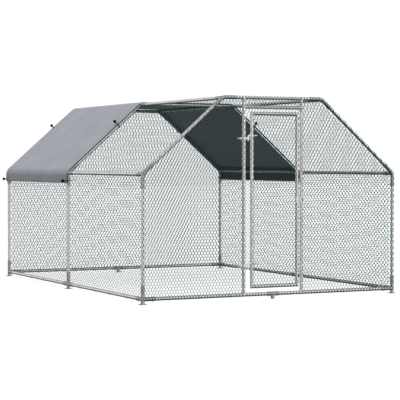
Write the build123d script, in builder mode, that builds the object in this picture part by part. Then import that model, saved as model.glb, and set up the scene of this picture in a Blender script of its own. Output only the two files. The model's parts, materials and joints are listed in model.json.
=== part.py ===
from build123d import *
from math import atan2, cos, hypot, sin, sqrt
import os

os.makedirs("parts", exist_ok=True)

# ---------------------------------------------------------------- dimensions, mm
# frame, measured between tube axes
WIDTH = 2770.0  # left post to right post
BAY = 1925.0  # arch to arch
BASE_Z = 50.5  # base rails above the ground
EAVE_Z = 1222.0  # where post and rafter meet
TOP_Z = 1952.0  # top rail
TOP_WIDTH = 1092.0  # between the two upper corners of an arch

# tube and sleeve connectors
TUBE_R = 17.0
TUBE_WALL = 0.8
SLEEVE_R = 19.0
SLEEVE_BORE_R = 17.2
BRANCH_R = 18.7  # outside of the branch sleeves on the bent connectors
BEND_R = 90.0
LEG = 140.0  # bent sleeve leg, from the corner point
STUB = 130.0  # branch sleeve, from the axis it leaves
TEE_HALF = 65.0  # half length of the sleeve in the middle of a gable
EAVE_TUBE_GAP = 45.0  # tube end to the corner point at the eave
TOP_TUBE_GAP = 40.0  # tube end to the corner point at the top
BRANCH_GAP = 20.5  # tube end to the axis that the branch leaves
FOOT_SIDE = 68.0
FOOT_T = 4.0
STAKE_HOLE_R = 5.0
STAKE_PITCH = 44.0

# frame bolts, M6
BOLT_R = 3.0
BOLT_HOLE_R = 3.3
HEX6_R = 10.0 / sqrt(3)
HEAD_H = 4.0
NUT_H = 5.0
BOLT_LEG = 112.0  # bolt on a bent leg, from the corner point
BOLT_STUB = 102.0  # bolt on a branch, from the axis it leaves
BOLT_TEE = 45.0

# netting, drawn as closed thin panels
NET_IN = 19.55  # nearer face to the tube axes
NET_T = 1.2
NET_LOW = 40.0
NET_END = 19.7  # ends of the long strips to the gable axes
NET_OVER = 10.8  # gable netting past the tube axes at its outer edges, clear of the bolt heads
JAMB_OVER = 10.0  # gable netting past the axes of the door jambs
LEAF_OVER = 12.0  # door netting past the axes of the door leaf

# door portal and door leaf
FRONT_Y = -BAY
JAMB_X = 320.0
LINTEL_Z = 1862.0
HINGE_STILE_X = -232.0
LATCH_STILE_X = 270.0
DOOR_LOW = 127.0
DOOR_HIGH = 1800.0
DOOR_NET_IN = 17.3

# hinges, M14
HINGE_X = -273.0
EYE_Z = (319.0, 1558.0)
EYE_H = 32.0
EYE_R = 13.5
PIN_R = 7.0
PIN_BORE_R = 7.08
PIN_BEND_R = 13.0
PIN_GAP = 0.3
HINGE_HEX_R = 22.0 / sqrt(3)
HINGE_NUT_H = 10.0
EYE_TAIL_X = -384.0
PIN_TAIL_X = -174.0
HINGE_HOLE_R = 7.3

# hasp and turning staple
HASP_Z = 962.0
HASP_X = 288.0  # hinge pin of the flap
HASP_Y = FRONT_Y - 21.0
KNUCKLE_R = 3.5
LEAF_X0 = 252.0
LEAF_HALF = 27.0
FLAP_END_X = 356.0
FLAP_HALF = 28.0
FLAP_BACK = 21.5  # back face of the flap in front of the tube axes
FLAP_T = 2.0
PLATE_FRONT = 19.1
PLATE_BACK = 17.1
STAPLE_R = 4.0
STAPLE_BORE_R = 4.08

# roof cover and elastic ties
COVER_IN = 23.5
COVER_T = 0.8
COVER_Y0 = -12.0
COVER_Y1 = 1950.0
HEM_Z = 1118.0
TIE_HEM_Z = 1136.0
TIE_SLOPE = 756.0  # along the rafter axis from the eave corner
BALL_R = 15.0
BALL_OUT = 62.0
CORD_R = 3.0
EYELET_R = 4.5
EYELET_MID_Y = 33.0
EYELET_REAR_Y = -25.5

# wire rings that hold the netting
RING_R = 20.0
RING_WIRE_R = 0.8
RING_SHIFT = 1.8

# ---------------------------------------------------------------- derived points
HALF = WIDTH / 2
TOP_HALF = TOP_WIDTH / 2
SLOPE_A = atan2(TOP_Z - EAVE_Z, HALF - TOP_HALF)
SLOPE_L = hypot(TOP_Z - EAVE_Z, HALF - TOP_HALF)
TURN_EAVE = 1.5707963267948966 - SLOPE_A
TURN_TOP = SLOPE_A
ARCHES = {"front": -BAY, "middle": 0.0, "rear": BAY}
SIDES = {"left": -1, "right": 1}
CENTRE_EAVE = (-HALF + BEND_R, EAVE_Z - BEND_R * sin(TURN_EAVE / 2) / cos(TURN_EAVE / 2))
CENTRE_TOP = (-TOP_HALF + BEND_R * sin(TURN_TOP / 2) / cos(TURN_TOP / 2), TOP_Z - BEND_R)
N_EAVE = (-cos(TURN_EAVE / 2), sin(TURN_EAVE / 2))
N_TOP = (-sin(TURN_TOP / 2), cos(TURN_TOP / 2))
MID_EAVE = (CENTRE_EAVE[0] + BEND_R * N_EAVE[0], CENTRE_EAVE[1] + BEND_R * N_EAVE[1])
MID_TOP = (CENTRE_TOP[0] + BEND_R * N_TOP[0], CENTRE_TOP[1] + BEND_R * N_TOP[1])


def slope_point(side, y, along):
    """Point on a rafter axis, measured from the eave corner."""
    return (side * (HALF - along * cos(SLOPE_A)), y, EAVE_Z + along * sin(SLOPE_A))


def slope_normal(side):
    return (side * sin(SLOPE_A), 0.0, cos(SLOPE_A))


def eave_rail_at(side, y):
    return (-side * MID_EAVE[0], y, MID_EAVE[1])


def top_rail_at(side, y):
    return (-side * MID_TOP[0], y, MID_TOP[1])


# ---------------------------------------------------------------- frame bolts
BOLTS = []


def leg_direction(normal, y):
    """Corner arches are bolted diagonally outwards, the middle arch along the coop."""
    if y == 0.0:
        return (0.0, -1.0, 0.0)
    out = 1.0 if y > 0 else -1.0
    return (normal[0] / sqrt(2), out / sqrt(2), normal[2] / sqrt(2))


for side in SIDES.values():
    post_n = (float(side), 0.0, 0.0)
    for y in ARCHES.values():
        BOLTS.append(((side * HALF, y, BASE_Z + BOLT_STUB), leg_direction(post_n, y)))
        BOLTS.append(((side * HALF, y, EAVE_Z - BOLT_LEG), leg_direction(post_n, y)))
        rafter_n = slope_normal(side)
        BOLTS.append((slope_point(side, y, BOLT_LEG), leg_direction(rafter_n, y)))
        BOLTS.append((slope_point(side, y, SLOPE_L - BOLT_LEG), leg_direction(rafter_n, y)))
        BOLTS.append(((side * (TOP_HALF - BOLT_LEG), y, TOP_Z), leg_direction((0.0, 0.0, 1.0), y)))
        if y != 0.0:
            BOLTS.append(((side * (HALF - BOLT_STUB), y, BASE_Z), (0.0, 0.0, 1.0)))
            BOLTS.append(((side * BOLT_TEE, y, BASE_Z), (0.0, 0.0, 1.0)))
    for y in (-BAY + BOLT_STUB, -BOLT_STUB, BOLT_STUB, BAY - BOLT_STUB):
        BOLTS.append(((side * HALF, y, BASE_Z), (0.0, 0.0, 1.0)))
        BOLTS.append((eave_rail_at(side, y), (-side * N_EAVE[1], 0.0, -N_EAVE[0])))
        BOLTS.append((top_rail_at(side, y), (side * N_TOP[1], 0.0, N_TOP[0])))


def bolts_on(start, end):
    """The frame bolts whose centre lies on the axis from start to end."""
    a, b = Vector(*start), Vector(*end)
    along = (b - a).normalized()
    found = []
    for point, direction in BOLTS:
        reach = Vector(*point) - a
        t = reach.dot(along)
        if 0.0 < t < (b - a).length and (reach - along * t).length < 1.0:
            found.append((point, direction))
    return found


def bolts_near(centre, reach):
    return [bolt for bolt in BOLTS if (Vector(*bolt[0]) - Vector(*centre)).length < reach]


def save(piece, name):
    piece.part.label = name
    export_step(piece.part, "parts/" + name + ".step")


# ---------------------------------------------------------------- straight tubes
def tube(name, *axes):
    """Straight tubes, each drilled for the bolts on its axis."""
    with BuildPart() as piece:
        for start, end in axes:
            run = Vector(*end) - Vector(*start)
            with BuildSketch(Plane(origin=start, z_dir=run.normalized())):
                Circle(TUBE_R)
                Circle(TUBE_R - TUBE_WALL, mode=Mode.SUBTRACT)
            extrude(amount=run.length)
        for start, end in axes:
            for point, direction in bolts_on(start, end):
                with BuildSketch(Plane(origin=point, z_dir=direction)):
                    Circle(BOLT_HOLE_R)
                extrude(amount=TUBE_R + 5, both=True, mode=Mode.SUBTRACT)
    save(piece, name)


for side_name, side in SIDES.items():
    for arch_name, y in ARCHES.items():
        tube(
            arch_name + "_" + side_name + "_post",
            ((side * HALF, y, BASE_Z + 22.0), (side * HALF, y, EAVE_Z - EAVE_TUBE_GAP)),
        )
        tube(
            arch_name + "_" + side_name + "_rafter",
            (slope_point(side, y, EAVE_TUBE_GAP), slope_point(side, y, SLOPE_L - TOP_TUBE_GAP)),
        )
    tube(
        side_name + "_base_rails",
        ((side * HALF, -BAY + BRANCH_GAP, BASE_Z), (side * HALF, -BRANCH_GAP, BASE_Z)),
        ((side * HALF, BRANCH_GAP, BASE_Z), (side * HALF, BAY - BRANCH_GAP, BASE_Z)),
    )
    tube(
        side_name + "_eave_rails",
        (eave_rail_at(side, -BAY + BRANCH_GAP), eave_rail_at(side, -BRANCH_GAP)),
        (eave_rail_at(side, BRANCH_GAP), eave_rail_at(side, BAY - BRANCH_GAP)),
    )
    tube(
        side_name + "_ridge_rails",
        (top_rail_at(side, -BAY + BRANCH_GAP), top_rail_at(side, -BRANCH_GAP)),
        (top_rail_at(side, BRANCH_GAP), top_rail_at(side, BAY - BRANCH_GAP)),
    )
for arch_name, y in ARCHES.items():
    tube(
        arch_name + "_top_rail",
        ((-TOP_HALF + TOP_TUBE_GAP, y, TOP_Z), (TOP_HALF - TOP_TUBE_GAP, y, TOP_Z)),
    )
for arch_name in ("front", "rear"):
    y = ARCHES[arch_name]
    tube(
        arch_name + "_base_rails",
        ((-HALF + BRANCH_GAP, y, BASE_Z), (-2.0, y, BASE_Z)),
        ((2.0, y, BASE_Z), (HALF - BRANCH_GAP, y, BASE_Z)),
    )

# ---------------------------------------------------------------- connectors
# each is drawn at the front left, or at the left of the middle arch, and mirrored
FL = (-HALF, -BAY, BASE_Z)

with BuildPart() as base_corner_connectors:
    with BuildSketch(Plane(origin=(-HALF, -BAY, FOOT_T), z_dir=(0, 0, 1))):
        Circle(SLEEVE_R)
    extrude(amount=BASE_Z + STUB - FOOT_T)
    with BuildSketch(Plane(origin=FL, z_dir=(1, 0, 0)), Plane(origin=FL, z_dir=(0, 1, 0))):
        Circle(SLEEVE_R)
    extrude(amount=STUB)
    with BuildSketch(Plane(origin=(-HALF, -BAY, FOOT_T - 1), z_dir=(0, 0, 1))):
        Circle(SLEEVE_BORE_R)
    extrude(amount=BASE_Z + STUB, mode=Mode.SUBTRACT)
    with BuildSketch(
        Plane(origin=(-HALF + BRANCH_GAP - 0.5, -BAY, BASE_Z), z_dir=(1, 0, 0)),
        Plane(origin=(-HALF, -BAY + BRANCH_GAP - 0.5, BASE_Z), z_dir=(0, 1, 0)),
    ):
        Circle(SLEEVE_BORE_R)
    extrude(amount=STUB, mode=Mode.SUBTRACT)
    for point, direction in bolts_near(FL, STUB):
        with BuildSketch(Plane(origin=point, z_dir=direction)):
            Circle(BOLT_HOLE_R)
        extrude(amount=SLEEVE_R + 5, both=True, mode=Mode.SUBTRACT)
    mirror(about=Plane.YZ)
    mirror(about=Plane.XZ)
save(base_corner_connectors, "base_corner_connectors")

ML = (-HALF, 0.0, BASE_Z)
with BuildPart() as base_side_tees:
    with BuildSketch(Plane(origin=(-HALF, 0, FOOT_T), z_dir=(0, 0, 1))):
        Circle(SLEEVE_R)
    extrude(amount=BASE_Z + STUB - FOOT_T)
    with BuildSketch(Plane(origin=(-HALF, -STUB, BASE_Z), z_dir=(0, 1, 0))):
        Circle(SLEEVE_R)
    extrude(amount=2 * STUB)
    with BuildSketch(Plane(origin=(-HALF, 0, FOOT_T - 1), z_dir=(0, 0, 1))):
        Circle(SLEEVE_BORE_R)
    extrude(amount=BASE_Z + STUB, mode=Mode.SUBTRACT)
    with BuildSketch(
        Plane(origin=(-HALF, BRANCH_GAP - 0.5, BASE_Z), z_dir=(0, 1, 0)),
        Plane(origin=(-HALF, -BRANCH_GAP + 0.5, BASE_Z), z_dir=(0, -1, 0)),
    ):
        Circle(SLEEVE_BORE_R)
    extrude(amount=STUB, mode=Mode.SUBTRACT)
    for point, direction in bolts_near(ML, STUB):
        with BuildSketch(Plane(origin=point, z_dir=direction)):
            Circle(BOLT_HOLE_R)
        extrude(amount=SLEEVE_R + 5, both=True, mode=Mode.SUBTRACT)
    mirror(about=Plane.YZ)
save(base_side_tees, "base_side_tees")

FM = (0.0, -BAY, BASE_Z)
with BuildPart() as gable_foot_tees:
    with BuildSketch(Plane(origin=(-TEE_HALF, -BAY, BASE_Z), z_dir=(1, 0, 0))):
        Circle(SLEEVE_R)
    extrude(amount=2 * TEE_HALF)
    with BuildSketch(Plane(origin=(0, -BAY, FOOT_T), z_dir=(0, 0, 1))):
        Circle(SLEEVE_R)
    extrude(amount=BASE_Z - FOOT_T)
    with BuildSketch(Plane(origin=(-TEE_HALF - 1, -BAY, BASE_Z), z_dir=(1, 0, 0))):
        Circle(SLEEVE_BORE_R)
    extrude(amount=2 * TEE_HALF + 2, mode=Mode.SUBTRACT)
    with BuildSketch(Plane(origin=(0, -BAY, FOOT_T - 1), z_dir=(0, 0, 1))):
        Circle(SLEEVE_BORE_R)
    extrude(amount=BASE_Z - SLEEVE_R - FOOT_T - 2, mode=Mode.SUBTRACT)
    for point, direction in bolts_near(FM, STUB):
        with BuildSketch(Plane(origin=point, z_dir=direction)):
            Circle(BOLT_HOLE_R)
        extrude(amount=SLEEVE_R + 5, both=True, mode=Mode.SUBTRACT)
    mirror(about=Plane.XZ)
    # the front one stands on the open end of its leg, without a plate
    with BuildSketch(Plane(origin=(0, -BAY, 0), z_dir=(0, 0, 1))):
        Circle(SLEEVE_R)
        Circle(SLEEVE_BORE_R, mode=Mode.SUBTRACT)
    extrude(amount=FOOT_T)
save(gable_foot_tees, "gable_foot_tees")


def bent_connector(name, y, low, corner, high, branch, stubs):
    """A bent sleeve in the plane of an arch, with branch sleeves along the coop."""
    with BuildLine() as bend:
        FilletPolyline(low, corner, high, radius=BEND_R)
    along = (Vector(*corner) - Vector(*low)).normalized()
    with BuildPart() as piece:
        with BuildSketch(Plane(origin=low, z_dir=along)):
            Circle(SLEEVE_R)
        sweep(path=bend.wire())
        with BuildSketch(Plane(origin=branch, z_dir=(0, 1, 0))):
            Circle(BRANCH_R)
        extrude(amount=STUB, both=len(stubs) == 2)
        with BuildSketch(Plane(origin=low, z_dir=along)):
            Circle(SLEEVE_BORE_R)
        sweep(path=bend.wire(), mode=Mode.SUBTRACT)
        for way in stubs:
            mouth = (branch[0], branch[1] + way * (BRANCH_GAP - 0.5), branch[2])
            with BuildSketch(Plane(origin=mouth, z_dir=(0, way, 0))):
                Circle(SLEEVE_BORE_R)
            extrude(amount=STUB, mode=Mode.SUBTRACT)
        for point, direction in bolts_near(corner, STUB):
            with BuildSketch(Plane(origin=point, z_dir=direction)):
                Circle(BOLT_HOLE_R)
            extrude(amount=SLEEVE_R + 5, both=True, mode=Mode.SUBTRACT)
        mirror(about=Plane.YZ)
        if y != 0.0:
            mirror(about=Plane.XZ)
    save(piece, name)


for name, y, stubs in (("corner", -BAY, (1,)), ("middle", 0.0, (-1, 1))):
    bent_connector(
        "eave_" + name + "_connectors",
        y,
        (-HALF, y, EAVE_Z - LEG),
        (-HALF, y, EAVE_Z),
        slope_point(-1, y, LEG),
        eave_rail_at(-1, y),
        stubs,
    )
    bent_connector(
        "ridge_" + name + "_connectors",
        y,
        slope_point(-1, y, SLOPE_L - LEG),
        (-TOP_HALF, y, TOP_Z),
        (-TOP_HALF + LEG, y, TOP_Z),
        top_rail_at(-1, y),
        stubs,
    )

with BuildPart() as foot_plates:
    with BuildSketch(Plane.XY):
        with Locations(
            *[(side * HALF, y) for side in SIDES.values() for y in ARCHES.values()],
            (0, BAY),
        ):
            RectangleRounded(FOOT_SIDE, FOOT_SIDE, 8)
            with GridLocations(STAKE_PITCH, STAKE_PITCH, 2, 2):
                Circle(STAKE_HOLE_R, mode=Mode.SUBTRACT)
    extrude(amount=FOOT_T)
save(foot_plates, "foot_plates")

# ---------------------------------------------------------------- frame bolts and nuts
SEAT = SLEEVE_R + 0.05


def bolt_planes(shift):
    return [
        Plane(origin=Vector(*point) + Vector(*direction) * shift, z_dir=direction)
        for point, direction in BOLTS
    ]


with BuildPart() as frame_bolts:
    with BuildSketch(*bolt_planes(SEAT)):
        RegularPolygon(HEX6_R, 6)
    extrude(amount=HEAD_H)
    with BuildSketch(*bolt_planes(SEAT)):
        Circle(BOLT_R)
    extrude(amount=-(2 * SEAT + NUT_H + 3))
save(frame_bolts, "frame_bolts")

with BuildPart() as frame_nuts:
    with BuildSketch(*bolt_planes(-SEAT)):
        RegularPolygon(HEX6_R, 6)
        Circle(BOLT_R + 0.05, mode=Mode.SUBTRACT)
    extrude(amount=-NUT_H)
save(frame_nuts, "frame_nuts")

# ---------------------------------------------------------------- door portal
with BuildPart() as left_door_jamb:
    with BuildSketch(Plane(origin=(-JAMB_X, FRONT_Y, BASE_Z), z_dir=(0, 0, 1))):
        Circle(TUBE_R)
        Circle(TUBE_R - TUBE_WALL, mode=Mode.SUBTRACT)
    extrude(amount=TOP_Z - BASE_Z)
    with BuildSketch(
        Plane(origin=(-JAMB_X, FRONT_Y, BASE_Z), z_dir=(1, 0, 0)),
        Plane(origin=(-JAMB_X, FRONT_Y, TOP_Z), z_dir=(1, 0, 0)),
    ):
        Circle(TUBE_R + 0.05)
    extrude(amount=TUBE_R + 5, both=True, mode=Mode.SUBTRACT)
    with BuildSketch(*[Plane(origin=(-JAMB_X, FRONT_Y, z), z_dir=(1, 0, 0)) for z in EYE_Z]):
        Circle(HINGE_HOLE_R)
    extrude(amount=TUBE_R + 5, both=True, mode=Mode.SUBTRACT)
save(left_door_jamb, "left_door_jamb")

with BuildPart() as right_door_jamb:
    with BuildSketch(Plane(origin=(JAMB_X, FRONT_Y, BASE_Z), z_dir=(0, 0, 1))):
        Circle(TUBE_R)
        Circle(TUBE_R - TUBE_WALL, mode=Mode.SUBTRACT)
    extrude(amount=TOP_Z - BASE_Z)
    with BuildSketch(
        Plane(origin=(JAMB_X, FRONT_Y, BASE_Z), z_dir=(1, 0, 0)),
        Plane(origin=(JAMB_X, FRONT_Y, TOP_Z), z_dir=(1, 0, 0)),
    ):
        Circle(TUBE_R + 0.05)
    extrude(amount=TUBE_R + 5, both=True, mode=Mode.SUBTRACT)
    with BuildSketch(Plane(origin=(JAMB_X, FRONT_Y, HASP_Z), z_dir=(0, 1, 0))):
        Circle(STAPLE_BORE_R)
    extrude(amount=TUBE_R + 5, both=True, mode=Mode.SUBTRACT)
save(right_door_jamb, "right_door_jamb")

with BuildPart() as door_lintel:
    with BuildSketch(Plane(origin=(-JAMB_X, FRONT_Y, LINTEL_Z), z_dir=(1, 0, 0))):
        Circle(TUBE_R)
        Circle(TUBE_R - TUBE_WALL, mode=Mode.SUBTRACT)
    extrude(amount=2 * JAMB_X)
    with BuildSketch(
        Plane(origin=(-JAMB_X, FRONT_Y, LINTEL_Z), z_dir=(0, 0, 1)),
        Plane(origin=(JAMB_X, FRONT_Y, LINTEL_Z), z_dir=(0, 0, 1)),
    ):
        Circle(TUBE_R + 0.05)
    extrude(amount=TUBE_R + 5, both=True, mode=Mode.SUBTRACT)
save(door_lintel, "door_lintel")


# ---------------------------------------------------------------- netting panels
def arch_line(out, low):
    """Corner points of the arch outline, moved outwards by out and ending at height low."""
    half_e = out * sin(TURN_EAVE / 2) / cos(TURN_EAVE / 2)
    half_t = out * sin(TURN_TOP / 2) / cos(TURN_TOP / 2)
    left = [
        (-HALF - out, low),
        (-HALF - out, EAVE_Z + half_e),
        (-TOP_HALF - half_t, TOP_Z + out),
    ]
    return left + [(-x, z) for x, z in reversed(left)]


# the long strips of the walls and the roof lie inside the tubes, the gable netting outside them
FAR = 700.0
regions = {
    "left_wall_netting": [
        CENTRE_EAVE,
        (CENTRE_EAVE[0] + FAR * N_EAVE[0], CENTRE_EAVE[1] + FAR * N_EAVE[1]),
        (-HALF - FAR, -100.0),
        (CENTRE_EAVE[0], -100.0),
    ],
    "left_roof_netting": [
        CENTRE_EAVE,
        (CENTRE_EAVE[0] + FAR * N_EAVE[0], CENTRE_EAVE[1] + FAR * N_EAVE[1]),
        (CENTRE_TOP[0] + FAR * N_TOP[0], CENTRE_TOP[1] + FAR * N_TOP[1]),
        CENTRE_TOP,
    ],
    "top_netting": [
        CENTRE_TOP,
        (CENTRE_TOP[0] + FAR * N_TOP[0], CENTRE_TOP[1] + FAR * N_TOP[1]),
        (-CENTRE_TOP[0] - FAR * N_TOP[0], CENTRE_TOP[1] + FAR * N_TOP[1]),
        (-CENTRE_TOP[0], CENTRE_TOP[1]),
    ],
}
for name in ("left_wall_netting", "left_roof_netting"):
    regions[name.replace("left", "right")] = [(-x, z) for x, z in regions[name]]

for name, region in regions.items():
    with BuildPart() as netting:
        with BuildSketch(Plane.XZ.offset(BAY - NET_END)):
            with BuildLine():
                inner = arch_line(-NET_IN - NET_T, NET_LOW)
                outer = arch_line(-NET_IN, NET_LOW)
                FilletPolyline(inner, radius=BEND_R - NET_IN - NET_T)
                FilletPolyline(outer, radius=BEND_R - NET_IN)
                Line(inner[0], outer[0])
                Line(inner[-1], outer[-1])
            make_face()
            with BuildLine():
                Polyline(*region, close=True)
            make_face(mode=Mode.INTERSECT)
        extrude(amount=-2 * (BAY - NET_END))
    save(netting, name)

gable = arch_line(NET_OVER, NET_LOW)
with BuildPart() as rear_gable_netting:
    with BuildSketch(Plane(origin=(0, BAY + NET_IN, 0), x_dir=(-1, 0, 0), z_dir=(0, 1, 0))):
        with BuildLine():
            FilletPolyline(gable, radius=BEND_R + NET_OVER)
            Line(gable[0], gable[-1])
        make_face()
    extrude(amount=NET_T)
save(rear_gable_netting, "rear_gable_netting")

FRONT_NET = Plane.XZ.offset(BAY + NET_IN)
INNER_X = JAMB_X - JAMB_OVER
with BuildPart() as front_left_netting:
    with BuildSketch(FRONT_NET):
        with BuildLine():
            FilletPolyline(*gable[:3], (-INNER_X, TOP_Z + NET_OVER), radius=BEND_R + NET_OVER)
            Polyline((-INNER_X, TOP_Z + NET_OVER), (-INNER_X, NET_LOW), gable[0])
        make_face()
    extrude(amount=NET_T)
save(front_left_netting, "front_left_netting")

with BuildPart() as front_right_netting:
    with BuildSketch(FRONT_NET):
        with BuildLine():
            FilletPolyline(*gable[:2:-1], (INNER_X, TOP_Z + NET_OVER), radius=BEND_R + NET_OVER)
            Polyline((INNER_X, TOP_Z + NET_OVER), (INNER_X, NET_LOW), gable[-1])
        make_face()
        with Locations((JAMB_X, HASP_Z)):
            Circle(9.0, mode=Mode.SUBTRACT)
    extrude(amount=NET_T)
save(front_right_netting, "front_right_netting")

# one piece over the lintel and one on the base rail under the door
with BuildPart() as door_surround_netting:
    with BuildSketch(FRONT_NET):
        with Locations((0, (LINTEL_Z - JAMB_OVER + TOP_Z + NET_OVER) / 2)):
            Rectangle(2 * INNER_X - 0.8, TOP_Z + NET_OVER - LINTEL_Z + JAMB_OVER)
        with Locations((0, (NET_LOW + BASE_Z + NET_OVER) / 2)):
            Rectangle(2 * INNER_X - 0.8, BASE_Z + NET_OVER - NET_LOW)
    extrude(amount=NET_T)
save(door_surround_netting, "door_surround_netting")

# ---------------------------------------------------------------- door leaf
LEG_Z = [z + EYE_H / 2 + PIN_GAP + PIN_BEND_R for z in EYE_Z]


def mitre(piece_x, piece_z, way_x, way_z):
    """Keeps the side of a 45 degree cut that faces way."""
    split(
        bisect_by=Plane(origin=(piece_x, FRONT_Y, piece_z), z_dir=(way_x, 0, way_z)),
        keep=Keep.TOP,
    )


with BuildPart() as door_hinge_stile:
    with BuildSketch(Plane(origin=(HINGE_STILE_X, FRONT_Y, DOOR_LOW - TUBE_R), z_dir=(0, 0, 1))):
        Circle(TUBE_R)
        Circle(TUBE_R - TUBE_WALL, mode=Mode.SUBTRACT)
    extrude(amount=DOOR_HIGH - DOOR_LOW + 2 * TUBE_R)
    mitre(HINGE_STILE_X, DOOR_LOW, -1, 1)
    mitre(HINGE_STILE_X, DOOR_HIGH, -1, -1)
    with BuildSketch(*[Plane(origin=(HINGE_STILE_X, FRONT_Y, z), z_dir=(1, 0, 0)) for z in LEG_Z]):
        Circle(HINGE_HOLE_R)
    extrude(amount=TUBE_R + 5, both=True, mode=Mode.SUBTRACT)
save(door_hinge_stile, "door_hinge_stile")

with BuildPart() as door_latch_stile:
    with BuildSketch(Plane(origin=(LATCH_STILE_X, FRONT_Y, DOOR_LOW - TUBE_R), z_dir=(0, 0, 1))):
        Circle(TUBE_R)
        Circle(TUBE_R - TUBE_WALL, mode=Mode.SUBTRACT)
    extrude(amount=DOOR_HIGH - DOOR_LOW + 2 * TUBE_R)
    mitre(LATCH_STILE_X, DOOR_LOW, 1, 1)
    mitre(LATCH_STILE_X, DOOR_HIGH, 1, -1)
save(door_latch_stile, "door_latch_stile")

with BuildPart() as door_top_rail:
    with BuildSketch(Plane(origin=(HINGE_STILE_X - TUBE_R, FRONT_Y, DOOR_HIGH), z_dir=(1, 0, 0))):
        Circle(TUBE_R)
        Circle(TUBE_R - TUBE_WALL, mode=Mode.SUBTRACT)
    extrude(amount=LATCH_STILE_X - HINGE_STILE_X + 2 * TUBE_R)
    mitre(HINGE_STILE_X, DOOR_HIGH, 1, 1)
    mitre(LATCH_STILE_X, DOOR_HIGH, -1, 1)
save(door_top_rail, "door_top_rail")

with BuildPart() as door_bottom_rail:
    with BuildSketch(Plane(origin=(HINGE_STILE_X - TUBE_R, FRONT_Y, DOOR_LOW), z_dir=(1, 0, 0))):
        Circle(TUBE_R)
        Circle(TUBE_R - TUBE_WALL, mode=Mode.SUBTRACT)
    extrude(amount=LATCH_STILE_X - HINGE_STILE_X + 2 * TUBE_R)
    mitre(HINGE_STILE_X, DOOR_LOW, 1, -1)
    mitre(LATCH_STILE_X, DOOR_LOW, -1, -1)
save(door_bottom_rail, "door_bottom_rail")

with BuildPart() as door_netting:
    with BuildSketch(Plane.XZ.offset(BAY + DOOR_NET_IN)):
        with Locations(((HINGE_STILE_X + LATCH_STILE_X) / 2, (DOOR_LOW + DOOR_HIGH) / 2)):
            Rectangle(
                LATCH_STILE_X - HINGE_STILE_X + 2 * LEAF_OVER, DOOR_HIGH - DOOR_LOW + 2 * LEAF_OVER
            )
        with Locations((LATCH_STILE_X, HASP_Z)):
            Rectangle(2 * (LATCH_STILE_X - LEAF_X0 + 4), 2 * (LEAF_HALF + 4), mode=Mode.SUBTRACT)
    extrude(amount=NET_T)
save(door_netting, "door_netting")

# ---------------------------------------------------------------- hinges
with BuildPart() as hinge_eye_bolts:
    with BuildSketch(*[Plane(origin=(HINGE_X, FRONT_Y, z - EYE_H / 2), z_dir=(0, 0, 1)) for z in EYE_Z]):
        Circle(EYE_R)
    extrude(amount=EYE_H)
    with BuildSketch(*[Plane(origin=(HINGE_X, FRONT_Y, z), z_dir=(-1, 0, 0)) for z in EYE_Z]):
        Circle(PIN_R)
    extrude(amount=HINGE_X - EYE_TAIL_X)
    with BuildSketch(*[Plane(origin=(HINGE_X, FRONT_Y, z - EYE_H), z_dir=(0, 0, 1)) for z in EYE_Z]):
        Circle(PIN_BORE_R)
    extrude(amount=2 * EYE_H, mode=Mode.SUBTRACT)
    with BuildSketch(
        *[Plane(origin=(-JAMB_X - TUBE_R - 0.05, FRONT_Y, z), z_dir=(-1, 0, 0)) for z in EYE_Z],
        *[Plane(origin=(-JAMB_X - TUBE_R - 0.2 - HINGE_NUT_H, FRONT_Y, z), z_dir=(-1, 0, 0)) for z in EYE_Z],
        *[Plane(origin=(-JAMB_X + TUBE_R + 0.05, FRONT_Y, z), z_dir=(1, 0, 0)) for z in EYE_Z],
    ):
        RegularPolygon(HINGE_HEX_R, 6)
        Circle(PIN_R + 0.05, mode=Mode.SUBTRACT)
    extrude(amount=HINGE_NUT_H)
save(hinge_eye_bolts, "hinge_eye_bolts")

pin_lines = []
for eye_z, leg_z in zip(EYE_Z, LEG_Z):
    with BuildLine() as pin_line:
        FilletPolyline(
            (HINGE_X, FRONT_Y, eye_z - EYE_H / 2 - 8),
            (HINGE_X, FRONT_Y, leg_z),
            (PIN_TAIL_X, FRONT_Y, leg_z),
            radius=PIN_BEND_R,
        )
    pin_lines.append(pin_line)
with BuildPart() as hinge_pin_bolts:
    for eye_z, pin_line in zip(EYE_Z, pin_lines):
        with BuildSketch(Plane(origin=(HINGE_X, FRONT_Y, eye_z - EYE_H / 2 - 8), z_dir=(0, 0, 1))):
            Circle(PIN_R)
        sweep(path=pin_line.wire())
    with BuildSketch(
        *[Plane(origin=(HINGE_STILE_X - TUBE_R - 0.05, FRONT_Y, z), z_dir=(-1, 0, 0)) for z in LEG_Z],
        *[Plane(origin=(HINGE_STILE_X + TUBE_R + 0.05, FRONT_Y, z), z_dir=(1, 0, 0)) for z in LEG_Z],
    ):
        RegularPolygon(HINGE_HEX_R, 6)
        Circle(PIN_R + 0.05, mode=Mode.SUBTRACT)
    extrude(amount=HINGE_NUT_H)
save(hinge_pin_bolts, "hinge_pin_bolts")

# ---------------------------------------------------------------- hasp and staple
OUTER_KNUCKLES = ((HASP_Z - LEAF_HALF, HASP_Z - 10.0), (HASP_Z + 10.0, HASP_Z + LEAF_HALF))
INNER_KNUCKLE = (HASP_Z - 9.5, HASP_Z + 9.5)

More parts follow.
